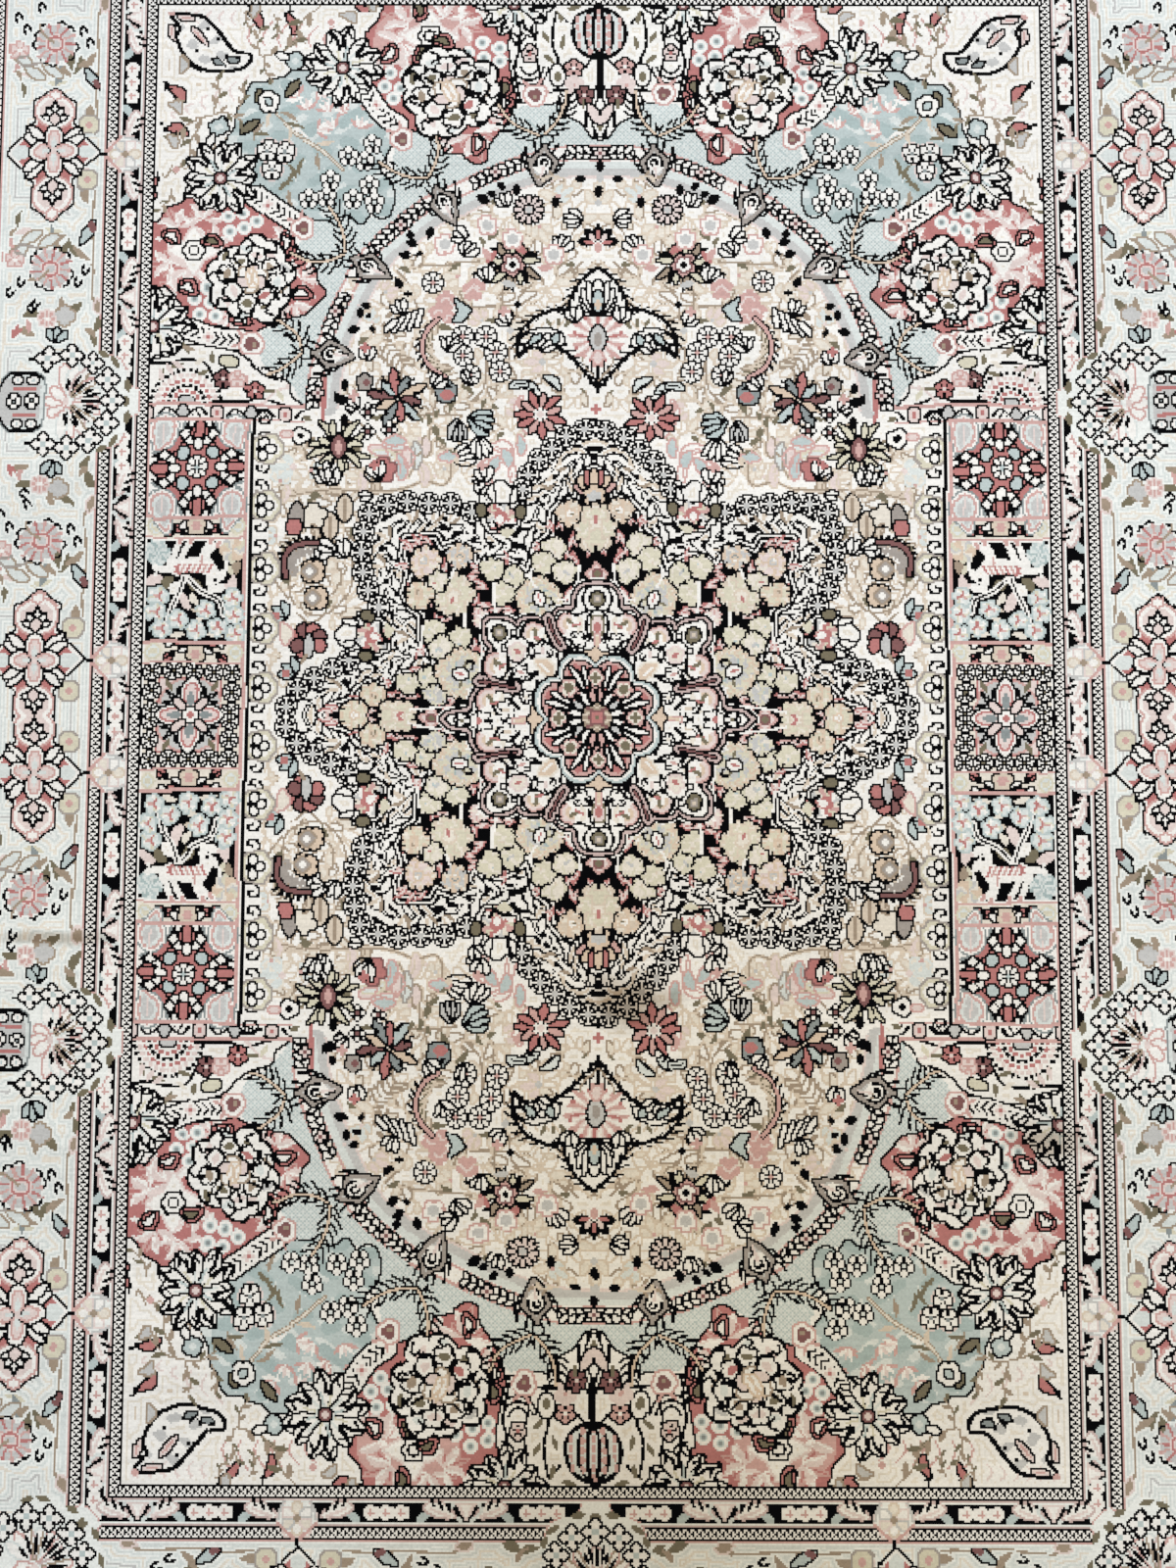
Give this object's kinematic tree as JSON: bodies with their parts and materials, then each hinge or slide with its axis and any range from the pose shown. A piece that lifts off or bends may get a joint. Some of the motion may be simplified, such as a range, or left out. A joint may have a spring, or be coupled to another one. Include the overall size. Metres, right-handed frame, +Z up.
{
  "type": "kashmir silk rug",
  "caption": "Hand-knotted silk rug that lies flat, with a dense short pile, overcast sides and plain-woven ends.",
  "frame": {"origin": "middle of the underside, on the floor", "axes": "+X across the rug, +Y along the warps towards the picture's top, +Z up through the pile"},
  "size_m": [1.25, 1.79, 0.005],
  "materials": {
    "silk": "dense clipped silk pile, softly shiny, patterned in ivory, beige, pale blue, rose and black"
  },
  "bodies": {
    "root": {"rug": "silk"}
  },
  "joints": []
}
